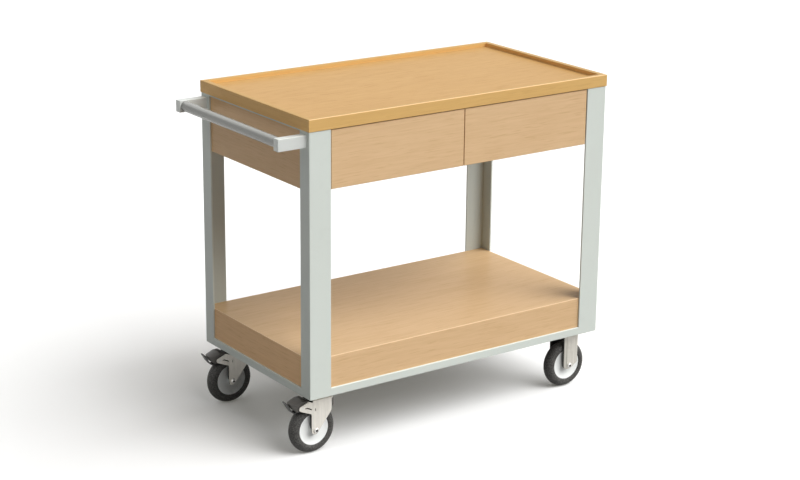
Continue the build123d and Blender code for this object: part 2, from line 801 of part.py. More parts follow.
def swivel_fork():
    """Pressed fork: a hood with straight ears in front of it and the inner ball race on its crown."""
    inner = FORK_GAP / 2
    body = hood(FORK_OUT_Y, HOOD_BACK, CROWN_TOP, FORK_BEND_R + FORK_STEEL)
    body -= hood(inner, HOOD_BACK - FORK_STEEL, CROWN_TOP - FORK_STEEL, FORK_BEND_R)
    ear = block((PIN_X - EAR_POINT, HOOD_FRONT), (inner, FORK_OUT_Y), (0, CROWN_TOP))
    for side_ear in both_sides(ear):
        body += side_ear
    body &= along_y(swivel_fork_outline(), -2 * FORK_OUT_Y, 2 * FORK_OUT_Y)
    for lip in both_sides(leg_lip()):
        body += lip
    race_r = RACE_R - RACE_WALL - SWIVEL_FIT
    body += ring(RACE_BOSS_R, race_r, (CROWN_TOP, BASE_Z - PLATE - RACE_STEP))
    body -= rod_z(KINGPIN_R + RUN_FIT, 0, 0, (0, CROWN_TOP))
    body -= rod_y(AXLE_R + FIXED_FIT, -TRAIL, (-FORK_OUT_Y, FORK_OUT_Y), WHEEL_R)
    for line, width in ((STOP_SLOT, STOP_SLOT_WIDTH), (SPRING_SLOT, SPRING_SLOT_WIDTH)):
        body -= along_y(trace(Polyline(*from_pin(line)), width), -FORK_OUT_Y, FORK_OUT_Y)
    return body - pedal_pin(FIXED_FIT)


def pedal_pin(fit):
    """Pin across the ears, peened into countersinks at both ends, grown by a clearance."""
    flare_root = FORK_OUT_Y - PIN_FLARE
    body = rod_y(PIN_R + fit, PIN_X, (-FORK_OUT_Y, FORK_OUT_Y), PIN_Z)
    root = Plane.XZ.offset(flare_root) * Pos(PIN_X, PIN_Z) * Circle(PIN_R + fit)
    end = Plane.XZ.offset(FORK_OUT_Y) * Pos(PIN_X, PIN_Z) * Circle(PIN_FLARE_R + fit)
    for flare in both_sides(loft([root, end], ruled=True)):
        body += flare
    return body


def shoe_circle():
    """Brake shoe in side view, sized to stop just clear of the tyre when the pedal is down."""
    arm = Vector(SHOE_ALONG, SHOE_UP)
    pressed = Vector(PIN_X, PIN_Z) + arm.rotate(Axis.Z, PEDAL_TRAVEL)
    radius = (pressed - Vector(-TRAIL, WHEEL_R)).length - WHEEL_R - SHOE_GAP
    return Pos(PIN_X + SHOE_ALONG, PIN_Z + SHOE_UP) * Circle(radius)


def lever_face():
    """Side view of the brake lever: hub on the pin, shoe over the tyre, strip out to the upturned toe tab."""
    hub_and_shoe = Pos(PIN_X, PIN_Z) * Circle(LEVER_HUB_R) + shoe_circle()
    strip = FilletPolyline(*from_pin(LEVER_LINE), radius=list(LEVER_BENDS))
    return make_hull(hub_and_shoe.edges()) + trace(strip, LEVER_STEEL)


def brake_lever():
    """Pressed lever, turning on the pedal pin."""
    body = along_y(lever_face(), -LEVER_WIDTH / 2, LEVER_WIDTH / 2)
    return body - rod_y(PIN_R + RUN_FIT, PIN_X, (-LEVER_WIDTH, LEVER_WIDTH), PIN_Z)


def pedal():
    """Moulded pedal between the ears: a cap over the lever, domed, sloping down to a round nose."""
    half = FORK_GAP / 2 - PEDAL_SIDE_FIT
    nose_r = half * ROUND_END
    corners = [Vector(PIN_X + along, 0, PIN_Z + up) for along, up, _ in PEDAL_SIDE]
    nose = min(corners, key=lambda corner: corner.X)
    peak = max(corners, key=lambda corner: corner.Z)
    edge = peak.Z - PEDAL_CROWN_DROP
    plan = outline((0, -half, 0), (0, half, 0), (nose.X, half, nose_r), (nose.X, -half, nose_r))
    arch = ThreePointArc((-half, edge), (0, peak.Z), (half, edge))
    section = make_face(Curve() + [arch, Polyline((half, edge), (half, 0), (-half, 0), (-half, edge))])
    slope = nose - peak
    dome = along_x(section, peak.X, 0) + extrude(Plane.YZ.offset(peak.X) * section, slope.length, dir=slope)
    body = along_y(outline(*from_pin(PEDAL_SIDE)), -FORK_GAP, FORK_GAP) & along_z(plan, 0, BASE_Z) & dome
    slot = LEVER_WIDTH / 2 + FIXED_FIT
    body -= along_y(lever_face(), -slot, slot)
    return body - rod_y(PIN_R + SWIVEL_FIT, PIN_X, (-half, half), PIN_Z)


def fixed_leg_outline(front, back):
    """Side view of a fixed fork's back leg between two edges."""
    low = WHEEL_R - FIXED_LEG_END
    top = BASE_Z - PLATE
    return outline(
        (back, top, 0),
        (back, low, FIXED_LEG_END_R),
        (-FIXED_LEG_HEEL, low, FIXED_LEG_END_R),
        (front, WHEEL_R + FIXED_LEG_TAPER, FIXED_LEG_TAPER),
        (front, top, 0),
    )


def fixed_leg():
    """Back leg of a fixed fork: a channel with turned-in edges, a raised pad, dimples and a rounded end."""
    front, back = -FIXED_LEG_BACK, FIXED_LEG_FRONT
    low, top = WHEEL_R - FIXED_LEG_END, BASE_Z - PLATE
    web = FORK_OUT_Y - FORK_STEEL
    toe = tyre_half_width() + LEG_TYRE_GAP
    inner_r = FIXED_LEG_BEND_R - FORK_STEEL
    channel_plan = outline(
        (front, toe, 0),
        (front, FORK_OUT_Y, FIXED_LEG_BEND_R),
        (back, FORK_OUT_Y, FIXED_LEG_BEND_R),
        (back, toe, 0),
        (back - FORK_STEEL, toe, 0),
        (back - FORK_STEEL, web, inner_r),
        (front + FORK_STEEL, web, inner_r),
        (front + FORK_STEEL, toe, 0),
    )
    pad_front, pad_back = front + FIXED_PAD_BACK, back - FIXED_PAD_FRONT
    pad_plan = outline(
        (pad_front, FORK_OUT_Y, 0),
        (pad_front + FIXED_PAD_FLANK, HEAD_Y, 0),
        (pad_back - FIXED_PAD, HEAD_Y, 0),
        (pad_back, FORK_OUT_Y, 0),
    )
    side = along_y(fixed_leg_outline(front, back), 0, 2 * HEAD_Y)
    pad = along_z(pad_plan, low, top)
    for up in FIXED_DIMPLES:
        pad -= Pos(0, HEAD_Y + FIXED_DIMPLE_R - FIXED_DIMPLE, WHEEL_R + up) * Sphere(FIXED_DIMPLE_R)
    return (along_z(channel_plan, low, top) + pad) & side


def fixed_fork():
    """Fixed fork: its plate with two equal legs, set opposite ways round under it."""
    leg = fixed_leg()
    body = caster_plate() + leg + Rot(0, 0, 180) * leg
    return body - rod_y(AXLE_R + FIXED_FIT, 0, (-HEAD_Y, HEAD_Y), WHEEL_R)


# Assembly: every node by name

NODES = {}

for end_name, corner_post in (("right", post()), ("left", handle_post())):
    NODES[f"post_back_{end_name}"] = corner_post
    NODES[f"post_front_{end_name}"] = mirror(corner_post, Plane.XZ)

NODES["base_rails_long"] = group(both_sides(long_rail()))
NODES["base_rails_short"] = group(both_ends(short_rail()))
NODES["corner_plates"] = group(four_corners(corner_plate()))
NODES["top_rails"] = group(both_ends(top_rail()))

NODES["tray_board"] = tray_board()
NODES["tray_lips_long"] = group(both_sides(long_lip()))
NODES["tray_lips_short"] = group(both_ends(short_lip()))
NODES["tray_screws"] = group([copy for screw in tray_screws() for copy in both_ends(screw)])

NODES["end_panel_left"] = end_panel()
NODES["end_panel_right"] = mirror(end_panel(), Plane.YZ)
NODES["back_panel"] = back_panel()
NODES["centre_divider"] = centre_divider()
NODES["runner_packers"] = group(both_ends(runner_packer()))
NODES["cabinet_runners"] = group([copy for member in cabinet_runners() for copy in both_ends(member)])

DRAWER_PIECES = {
    "front": drawer_front(),
    "sides": group(drawer_sides()),
    "back": drawer_back(),
    "bottom": drawer_bottom(),
    "runners": group(drawer_runners()),
}
for piece_name, piece in DRAWER_PIECES.items():
    NODES[f"drawer_left_{piece_name}"] = piece
    NODES[f"drawer_right_{piece_name}"] = mirror(piece, Plane.YZ)

NODES["shelf_deck"] = shelf_deck()
NODES["shelf_skirts_long"] = group(both_sides(long_skirt()))
NODES["shelf_skirts_short"] = group(both_ends(short_skirt()))

NODES["handle_bracket_back"] = handle_bracket()
NODES["handle_bracket_front"] = mirror(handle_bracket(), Plane.XZ)
NODES["handle_bar"] = handle_bar()
BRACKET_SCREWS = [bracket_screw(BRACKET_Y, z, 0) for z in bracket_screw_places()]
NODES["handle_screws"] = group([copy for screw in BRACKET_SCREWS for copy in both_sides(screw)])

SWIVEL_PIECES = {
    "swivel_plate": swivel_plate(),
    "swivel_fork": swivel_fork(),
    "pedal_pin": pedal_pin(0),
    "pedal": pedal(),
    "brake_lever": brake_lever(),
}
SIDES = (("front", -CASTER_Y), ("back", CASTER_Y))
for side_name, side_y in SIDES:
    swivel_place = Pos(-CASTER_X, side_y, 0)
    swivel_wheel = swivel_place * Pos(-TRAIL, 0, WHEEL_R)
    fixed_place = Pos(CASTER_X, side_y, 0)
    fixed_wheel = fixed_place * Pos(0, 0, WHEEL_R)
    for piece_name, piece in SWIVEL_PIECES.items():
        NODES[f"{piece_name}_{side_name}"] = swivel_place * piece
    axle = axle_bolt_and_nut(FORK_OUT_Y)
    NODES[f"swivel_axle_{side_name}"] = group([swivel_wheel * piece for piece in axle])
    NODES[f"swivel_hub_{side_name}"] = swivel_wheel * hub()
    NODES[f"swivel_tyre_{side_name}"] = swivel_wheel * tyre()
    NODES[f"fixed_fork_{side_name}"] = fixed_place * fixed_fork()
    NODES[f"fixed_hub_{side_name}"] = fixed_wheel * hub()
    NODES[f"fixed_tyre_{side_name}"] = fixed_wheel * tyre()

FIXED_WHEELS = [Pos(CASTER_X, y, WHEEL_R) for _, y in SIDES]
NODES["fixed_axles"] = group([place * piece for place in FIXED_WHEELS for piece in axle_bolt_and_nut(HEAD_Y)])
CASTER_PLACES = [Pos(x, y, 0) for x in (-CASTER_X, CASTER_X) for _, y in SIDES]
NODES["kingpins"] = group([Pos(-CASTER_X, y, 0) * kingpin() for _, y in SIDES])
NODES["caster_bolts"] = group([place * bolt for place in CASTER_PLACES for bolt in caster_bolts()])

os.makedirs("parts", exist_ok=True)
for node_name, node in NODES.items():
    export_step(Pos(ORIGIN_SHIFT, 0, 0) * node, f"parts/{node_name}.step")
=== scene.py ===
"""Finishes, small screws, stage and camera of a serving trolley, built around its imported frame.

Metres, +Z up. The front faces -Y and the handle is at the -X end, as in the frame.
"""

import math

import bmesh
import bpy
from mathutils import Matrix, Quaternion, Vector


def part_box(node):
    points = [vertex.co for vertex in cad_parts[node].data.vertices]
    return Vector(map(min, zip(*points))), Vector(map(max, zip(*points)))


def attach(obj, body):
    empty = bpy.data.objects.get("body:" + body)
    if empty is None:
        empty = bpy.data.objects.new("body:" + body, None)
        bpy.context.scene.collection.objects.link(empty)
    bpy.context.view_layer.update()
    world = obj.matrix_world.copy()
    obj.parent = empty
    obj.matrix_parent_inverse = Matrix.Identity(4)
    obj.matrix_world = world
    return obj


bl_info = {
    "name": "Serving trolley",
    "version": (1, 0, 0),
    "blender": (4, 5, 0),
    "location": "View3D > Sidebar > Trolley",
    "description": "Finishes a serving trolley's pieces and sets its studio stage and camera",
    "category": "Object",
}

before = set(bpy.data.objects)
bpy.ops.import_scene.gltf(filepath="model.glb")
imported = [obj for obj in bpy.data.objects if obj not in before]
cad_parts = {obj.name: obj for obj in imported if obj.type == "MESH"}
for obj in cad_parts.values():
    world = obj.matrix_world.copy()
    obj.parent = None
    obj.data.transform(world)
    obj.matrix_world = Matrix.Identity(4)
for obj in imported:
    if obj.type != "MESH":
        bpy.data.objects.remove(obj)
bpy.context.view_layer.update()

# Words that names and loops share

SIDES = ("front", "back")
ENDS = ("left", "right")
LAMPS = ("front", "corner", "low", "right", "left", "back")
X_AXIS, Y_AXIS, Z_AXIS = 0, 1, 2

# Sizes of the construction that finishes and screws follow

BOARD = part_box("shelf_deck")[1].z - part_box("shelf_deck")[0].z
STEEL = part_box("end_panel_left")[0].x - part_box("post_front_left")[0].x  # the panels lie inside the posts
RUNNER_STEEL = 0.0015
FORK_HALF_GAP = 0.021  # from a wheel's middle to the inner face of a leg

# Places where a finish changes colour

LIP_HIGHLIGHT = {"width": 0.003, "depth": 0.0014}  # painted highlight: a pale band on the outer edges of the long lips
SHELF_HIGHLIGHT = {"width": 0.0024, "depth": 0.0014}  # painted highlight: a pale band round the top of the shelf
LIP_TOP = 0.0010  # depth of a lip's top, which is painted darker than its sides
PLY_LAYER = 0.0015  # thickness of one layer of plywood
LEG_FACE = 0.0001  # depth of the painted shade on a leg's inner face
SOCKET_R = 0.0029  # painted shade in the middle of an axle's key socket
SOCKET_FROM_WHEEL = 0.02  # the sockets lie further than this in front of the wheels' middles
SOCKET_PAINTED_SHADE = (0.02, 0.02, 0.02)

# Painted shade in the forks: its height under the crown, its height on the legs' edges and its depth into
# them

SWIVEL_FORK_SHADE = {"crown": 0.1357, "edge_top": 0.102, "edge": 0.0017}
FIXED_FORK_SHADE = {"crown": 0.1517, "edge_top": 0.1515, "edge": 0.0006}

# Grain of the wood

PALE_GRAIN = (1.03, 1.03, 1.03)  # factors on a board's colour where the grain is palest
DARK_GRAIN = (0.82, 0.76, 0.68)  # and where it is darkest
FIGURE_STRETCH = 5
BEECH_STEP = (3.7, 1.9, 2.3)  # how far apart in the grain two boards are cut
PLY_STEP = (2.1, 1.0, 0.0)

# Meshes and rows of the screws, and samples of eased edges

HEAD_SIDES = 32
CROWN_STEPS = 5
SMOOTH_BELOW = math.radians(35)
RECESS_TAPER = 0.6  # width of a recess at its foot, as a share of its width at the top
SCREWS_A_ROW = 3
EDGE_SAMPLES = 6

# Sockets of a Mix node that mixes colours

MIX_SHARE, MIX_FIRST, MIX_SECOND, MIX_RESULT = 0, 6, 7, 2


def middle(node):
    """Middle of a piece's box."""
    low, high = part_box(node)
    return (low + high) / 2


def both(piece):
    """Names of a piece at the front and at the back."""
    return [f"{piece}_{side}" for side in SIDES]


# Settings


def colour_setting(name, description, default):
    """A colour that a user would change, as linear light."""
    return bpy.props.FloatVectorProperty(
        name=name, description=description, default=default, subtype="COLOR", size=3, min=0, max=1
    )


def length_setting(name, description, default):
    """A length that a user would change, in metres."""
    return bpy.props.FloatProperty(
        name=name, description=description, default=default,
        subtype="DISTANCE", unit="LENGTH", min=0, precision=5
    )


def share_setting(name, description, default):
    """A share from 0 to 1 that a user would change."""
    return bpy.props.FloatProperty(
        name=name, description=description, default=default, subtype="FACTOR", min=0, max=1
    )


def lamp_direction(lamp, default):
    """The direction towards a lamp, which a user would change."""
    return bpy.props.FloatVectorProperty(
        name=f"{lamp} light from", description=f"Direction towards the {lamp.lower()} light",
        default=default, subtype="DIRECTION", size=3
    )


def lamp_strength(name, description, default):
    """A lamp's strength, which a user would change."""
    return bpy.props.FloatProperty(name=name, description=description, default=default, min=0)


class TrolleyColours(bpy.types.PropertyGroup):
    """Colours of the finishes."""

    paint: colour_setting("Paint", "Powder coat of the frame", (0.645, 0.685, 0.635))
    tray: colour_setting("Tray", "Laminate of the tray board", (0.530, 0.320, 0.122))
    lip: colour_setting("Lips", "Edge lipping along the tray", (0.67, 0.419, 0.155))
    # painted light: a lighter copy of the lip colour for the lips across the ends, whose faces at the
    # handle's end lie in shade
    lip_end_painted_light: colour_setting("End lips", "Edge lipping across the tray's ends", (0.859, 0.530, 0.205))
    # painted shade: the lips' tops darker than their sides, because more light falls on them from above
    lip_top_painted_shade: colour_setting("Lip tops", "Sanded tops of the lips", (0.484, 0.283, 0.078))
    # painted highlight along the long lips' outer arrises
    lip_edge_highlight: colour_setting("Lip edges", "Pale outer arrises of the long lips", (0.873, 0.582, 0.291))
    board: colour_setting("Boards", "Boards along the case and the shelf", (0.692, 0.471, 0.266))
    # painted light: a lighter copy of the board colour for the case's ends, which lie in shade at the
    # handle's end
    end_board_painted_light: colour_setting("End boards", "Boards across the case's ends", (0.771, 0.501, 0.265))
    # painted light: a still lighter copy of the board colour for the shelf's ends, which lie in shade at the
    # handle's end
    end_skirt_painted_light: colour_setting("End skirts", "Boards across the shelf's ends", (0.945, 0.611, 0.333))
    # painted shade: a darker copy of the board colour for the deck, whose top gets more light than the
    # boards' fronts
    deck: colour_setting("Shelf deck", "Deck of the shelf", (0.602, 0.410, 0.225))
    # painted highlight round the shelf's top edges
    board_edge_highlight: colour_setting("Shelf edges", "Pale outer arrises of the shelf", (0.80, 0.57, 0.35))
    # painted shade: a sheet darker than the wood on the faces inside the boxed shelf, which throws less warm
    # light onto the floor
    backing: colour_setting("Backing", "Backing sheet on the shelf's hidden faces", (0.49, 0.43, 0.36))
    ply: colour_setting("Drawer boxes", "Plywood of the drawer boxes", (0.64, 0.47, 0.29))
    ply_core: colour_setting("Ply core", "Darker inner layers of the plywood", (0.42, 0.27, 0.14))
    zinc: colour_setting("Zinc", "Plated steel of the swivel casters", (0.745, 0.715, 0.652))
    dull_zinc: colour_setting("Dull zinc", "Plated steel of the fixed casters", (0.595, 0.571, 0.514))
    # painted shade: near black inside the forks and on the legs' turned edges, which lie in shade
    fork_painted_shade: colour_setting("Fork inside", "Greased inside of the forks", (0.03, 0.028, 0.025))
    bolt: colour_setting("Bolts", "Plated bolts and screws", (0.66, 0.65, 0.62))
    runner: colour_setting("Runners", "Plated steel of the drawer runners", (0.55, 0.56, 0.57))
    bracket: colour_setting("Brackets", "Brushed metal of the handle's brackets", (0.685, 0.705, 0.675))
    bar: colour_setting("Handle bar", "Brushed metal of the handle's bar", (0.320, 0.322, 0.299))
    hub: colour_setting("Wheel centres", "Moulded plastic of the wheels", (0.95, 0.965, 0.94))
    tyre: colour_setting("Tyres", "Rubber of the tyres", (0.042, 0.040, 0.036))
    pedal: colour_setting("Pedals", "Moulded plastic of the brake pedals", (0.075, 0.070, 0.062))
    lever: colour_setting("Levers", "Coated strip of the brake levers", (0.045, 0.044, 0.041))


class TrolleyGrain(bpy.types.PropertyGroup):
    """Scale and depth of the wood's grain."""

    figure: length_setting("Figure", "Width of the broad bands in the wood", 0.060)
    streak: length_setting("Streak", "Width of a fine streak", 0.0050)
    fleck: length_setting("Fleck", "Width of a dark fleck", 0.0024)
    stretch: bpy.props.FloatProperty(
        name="Stretch", description="How much longer than wide the grain runs", default=22, min=1
    )
    contrast: share_setting("Contrast", "How far the grain darkens the wood", 0.85)
    relief: length_setting("Relief", "Depth of the pores under the lacquer", 0.00003)


class TrolleyScrews(bpy.types.PropertyGroup):
    """Pan-head screws of the drawer runners and the shelf."""

    radius: length_setting("Head radius", "Radius of a screw's head", 0.0040)
    height: length_setting("Head height", "Height of a screw's head", 0.0024)
    crown: length_setting("Crown", "Rounding of a head's rim", 0.0014)
    arm: length_setting("Recess length", "Length of the crossed recess", 0.0044)
    slot: length_setting("Recess width", "Width of each arm of the recess", 0.0011)
    depth: length_setting("Recess depth", "Depth of the crossed recess", 0.0015)
    runner_end: length_setting("Runner screws", "From a runner's end to its first screw", 0.035)
    shelf_end: length_setting("Shelf screws", "From a base rail's end to its first screw", 0.200)


class TrolleyStage(bpy.types.PropertyGroup):
    """Floor, light and camera."""

    floor: length_setting("Floor", "Side of the square floor", 60.0)
    floor_bounce: share_setting("Floor bounce", "Share of light that the floor throws back up", 0.23)
    floor_lift: share_setting("Floor lift", "How far the floor's shadows are lightened", 0.096)
    lift_tint: colour_setting("Lift tint", "Warm tint of the lightened shadows", (1.0, 0.985, 0.86))
    floor_tone: share_setting("Floor tone", "Grey of the floor as the picture shows it", 0.865)
    front_from: lamp_direction("Front", (0.242, -0.664, 0.707))
    front_light: lamp_strength("Front light", "Strength of the light over the front", 2.09)
    corner_from: lamp_direction("Corner", (0.413, -0.492, 0.766))
    corner_light: lamp_strength("Corner light", "Strength of the high light at the front right", 1.21)
    low_from: lamp_direction("Low", (0.709, -0.410, 0.574))
    low_light: lamp_strength("Low light", "Strength of the low light at the front right", 0.82)
    right_from: lamp_direction("Right", (0.863, -0.076, 0.5))
    right_light: lamp_strength("Right light", "Strength of the light on the far end", 1.36)
    left_from: lamp_direction("Left", (-0.766, 0, 0.643))
    left_light: lamp_strength("Left light", "Strength of the fill on the handle's end", 0.465)
    back_from: lamp_direction("Back", (0, 0.707, 0.707))
    back_light: lamp_strength("Back light", "Strength of the fill behind", 0.4)
    softness: bpy.props.FloatProperty(
        name="Softness", description="Size of each light seen from the floor", default=math.radians(50),
        subtype="ANGLE", unit="ROTATION"
    )
    camera: bpy.props.FloatVectorProperty(
        name="Camera", description="Place of the camera", default=(-2.7514, -3.9145, 1.9136),
        subtype="TRANSLATION", unit="LENGTH", size=3
    )
    aim: bpy.props.FloatVectorProperty(
        name="Aim", description="Point in the middle of the picture", default=(0.0252, 0.0, 0.4221),
        subtype="TRANSLATION", unit="LENGTH", size=3
    )
    roll: bpy.props.FloatProperty(
        name="Roll", description="Turn of the camera about its line of sight", default=math.radians(0.59),
        subtype="ANGLE", unit="ROTATION"
    )
    lens: bpy.props.FloatProperty(
        name="Lens", description="Focal length on a 36 mm sensor", default=87.47, unit="CAMERA"
    )


# Shader wiring


class Wire:
    """An output in a node tree. Arithmetic on it adds Math nodes."""

    def __init__(self, wiring, socket):
        self.wiring = wiring
        self.socket = socket

    def math(self, operation, *values):
        """Math node of these values, in order."""
        return self.wiring.node("ShaderNodeMath", {"operation": operation}, dict(enumerate(values)))

    def __add__(self, other):
        return self.math("ADD", self, other)

    def __sub__(self, other):
        return self.math("SUBTRACT", self, other)

    def __rsub__(self, other):
        return self.math("SUBTRACT", other, self)

    def __mul__(self, other):
        return self.math("MULTIPLY", self, other)

    __radd__ = __add__
    __rmul__ = __mul__

    def size(self):
        """Value without its sign."""
        return self.math("ABSOLUTE", self)

    def sign(self):
        """-1 below 0 and 1 above it."""
        return self.math("SIGN", self)

    def root(self):
        """Square root."""
        return self.math("SQRT", self)

    def zigzag(self, height):
        """Value folded to and fro between 0 and a height."""
        return self.math("PINGPONG", self, height)

    def either(self, other):
        """The larger of two values, so 1 where either of two shares is 1."""
        return self.math("MAXIMUM", self, other)

    def above(self, low, high):
        """0 below low, 1 above high and a smooth step between."""
        values = {"Value": self, "From Min": low, "From Max": high}
        return self.wiring.node("ShaderNodeMapRange", {"interpolation_type": "SMOOTHSTEP"}, values)

    def past(self, limit, fade):
        """0 up to a limit and 1 past it, with a smooth step as wide as the fade."""
        return self.above(limit, limit + fade)


def rgba(colour):
    """A colour with its alpha, or a wire as it is."""
    return colour if isinstance(colour, Wire) else (*colour[:3], 1.0)


class Wiring:
    """Adds and links nodes in one node tree."""

    def __init__(self, tree):
        self.tree = tree

    def feed(self, socket, value):
        """Sets a socket to a value or links a wire to it."""
        if isinstance(value, Wire):
            self.tree.links.new(value.socket, socket)
        else:
            socket.default_value = value

    def node(self, kind, settings=None, sockets=None, output=0):
        """Adds a node with its settings, then its sockets' values or links, and gives one output."""
        made = self.tree.nodes.new(kind)
        for name, value in (settings or {}).items():
            setattr(made, name, value)
        for key, value in (sockets or {}).items():
            self.feed(made.inputs[key], value)
        return Wire(self, made.outputs[output])

    def background_rays(self):
        """1 for rays that show the background: from the camera, in a reflection or through glass."""
        outputs = ("Is Camera Ray", "Is Glossy Ray", "Is Transmission Ray")
        camera, glossy, through = [self.node("ShaderNodeLightPath", output=name) for name in outputs]
        return camera.either(glossy).either(through)


class Finish(Wiring):
    """A node material that reads Object coordinates."""

    def __init__(self, name, constants):
        self.material = bpy.data.materials.new(name)
        self.material.use_nodes = True
        super().__init__(self.material.node_tree)
        self.shader = self.tree.nodes["Principled BSDF"]
        self.tone = None
        self.place = self.node("ShaderNodeTexCoord", output="Object")
        for socket, value in constants.items():
            self.shader.inputs[socket].default_value = value

    def scaled(self, factors, offset):
        """Object coordinates times three factors, moved by an offset."""
        sockets = {0: self.place, 1: factors, 2: offset}
        return self.node("ShaderNodeVectorMath", {"operation": "MULTIPLY_ADD"}, sockets)

    def noise(self, size, detail=2.0, rough=0.5, factors=(1, 1, 1), offset=(0, 0, 0), warp=0.0):
        """Noise from 0 to 1 whose lumps are about a size in metres, squeezed by three factors."""
        sockets = {
            "Vector": self.scaled(factors, offset), "Scale": 1 / size, "Detail": detail,
            "Roughness": rough, "Distortion": warp,
        }
        return self.node("ShaderNodeTexNoise", {}, sockets)

    def axis(self, index):
        """One of the three Object coordinates."""
        return self.node("ShaderNodeSeparateXYZ", {}, {0: self.place}, output=index)

    def mix(self, share, first, second):
        """Colour between two colours."""
        sockets = {MIX_SHARE: share, MIX_FIRST: rgba(first), MIX_SECOND: rgba(second)}
        return self.node("ShaderNodeMix", {"data_type": "RGBA"}, sockets, output=MIX_RESULT)

    def shade(self, colour, amount):
        """A colour darkened by an amount from 0 to 1."""
        return self.mix(amount, colour, (0, 0, 0))

    def flanks(self, low, high, inset):
        """1 within an inset of the four upright faces of a box, 0 further in."""
        centre = (low + high) / 2
        reach = (high - low) / 2
        ends, sides = [
            (self.axis(axis) - centre[axis]).size().past(reach[axis] - inset, fade=0.0004)
            for axis in (X_AXIS, Y_AXIS)
        ]
        return ends.either(sides)

    def arris(self, low, high, width, depth):
        """1 along the upper outer edges of a box: a band of its top and a strip of its sides."""
        return self.flanks(low, high, width) * self.axis(Z_AXIS).past(high.z - depth, fade=0.0003)

    def surface(self, colour, roughness, height=None, depth=0.0, edge=0.0):
        """Links the finish's colour and roughness, and its relief with the eased edges under it."""
        self.tone = rgba(colour)
        self.feed(self.shader.inputs["Base Color"], self.tone)
        self.feed(self.shader.inputs["Roughness"], roughness)
        if height is not None:
            relief = {"Height": height, "Distance": depth, "Strength": 1.0}
            if edge:
                relief["Normal"] = self.node("ShaderNodeBevel", {"samples": EDGE_SAMPLES}, {"Radius": edge})
            self.feed(self.shader.inputs["Normal"], self.node("ShaderNodeBump", {}, relief))
        return self

    def recolour(self, where, colour):
        """Puts another colour on the surface where a share is 1."""
        self.tone = self.mix(where, self.tone, colour)
        self.feed(self.shader.inputs["Base Color"], self.tone)
        return self

    def on(self, *names):
        """Puts the finish on these pieces."""
        for name in names:
            mesh = bpy.data.objects[name].data
            mesh.materials.clear()
            mesh.materials.append(self.material)


# Finishes


def lengthwise(along, stretch):
    """Factors that draw a pattern out along one axis."""
    factors = [1.0, 1.0, 1.0]
    factors[along] = 1 / stretch
    return factors


def tinted(colour, factors):
    """A colour times three factors, no lighter than white."""
    return tuple(min(1.0, channel * factor) for channel, factor in zip(colour, factors))


def powder_coat(name, colour, low, high):
    """Satin powder coat with a fine orange peel and faint handling marks, and painted shade inside the
    frame.
    """
    finish = Finish(name, {"IOR": 1.5})
    peel = finish.noise(0.0022, detail=1.0)
    cloud = finish.noise(0.16, detail=3.0)
    rubbed = finish.noise(0.03, detail=4.0, rough=0.65).above(0.52, 0.80)
    # painted shade: the faces further in than the steel's thickness, inside the frame, are darkened
    inner_shade = 1 - finish.flanks(low, high, STEEL)
    tone = finish.shade(colour, 0.05 * cloud + 0.03 * rubbed + 0.17 * inner_shade)
    roughness = 0.40 + 0.08 * rubbed + 0.06 * peel
    return finish.surface(tone, roughness, height=peel, depth=0.00004, edge=0.0009)


def beech(name, colour, along, grain, seed, gloss, tint=1.0):
    """Pale beech with its grain along one axis: broad figure, fine streaks and short dark flecks."""
    finish = Finish(name, {"IOR": 1.48, "Specular IOR Level": gloss})
    offset = tuple(seed * step for step in BEECH_STEP)
    broad, fine = [lengthwise(along, stretch) for stretch in (FIGURE_STRETCH, grain.stretch)]
    figure = finish.noise(grain.figure, detail=3.0, rough=0.55, factors=broad, offset=offset, warp=0.8)
    streak = finish.noise(grain.streak, detail=3.0, rough=0.60, factors=fine, offset=offset)
    fleck = finish.noise(grain.fleck, detail=1.0, factors=fine, offset=offset).above(0.58, 0.72)
    dark = figure.above(0.35, 0.75) * 0.14 + streak.above(0.30, 0.72) * 0.36 + fleck * 0.50
    tone = finish.mix(dark * grain.contrast * tint, tinted(colour, PALE_GRAIN), tinted(colour, DARK_GRAIN))
    roughness = 0.30 + 0.10 * streak + 0.06 * fleck
    pores = 1 - (streak * 0.3 + fleck)
    return finish.surface(tone, roughness, height=pores, depth=grain.relief, edge=0.0006)


def lipping(name, colour, top_colour, along, grain, seed):
    """Golden edge lipping: beech with a quieter grain, and painted shade on its top, which is darker than
    its sides.
    """
    finish = beech(name, colour, along, grain, seed, gloss=0.14, tint=0.75)
    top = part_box("tray_lips_long")[1].z
    return finish.recolour(finish.axis(Z_AXIS).past(top - LIP_TOP, fade=0.0006), top_colour)


def shelf_board(name, colour, colours, along, grain, seed):
    """Duller beech board with a painted highlight on its arrises, and a darker backing sheet of painted
    shade on the faces inside the boxed shelf.
    """
    finish = beech(name, colour, along, grain, seed, gloss=0.08)
    low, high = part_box("shelf_skirts_long")
    underside, top = [corner.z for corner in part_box("shelf_deck")]
    outside = finish.axis(Z_AXIS).past(underside, fade=0.0005).either(finish.flanks(low, high, BOARD))
    # painted shade: the faces inside the boxed shelf take the darker backing sheet
    sheet = finish.shade(colours.backing, 0.12 * finish.noise(0.002))
    finish.recolour(1 - outside, sheet)
    # painted highlight on the shelf's upper outer arrises
    edges = finish.arris(low, Vector((high.x, high.y, top)), **SHELF_HIGHLIGHT)
    return finish.recolour(edges, colours.board_edge_highlight)


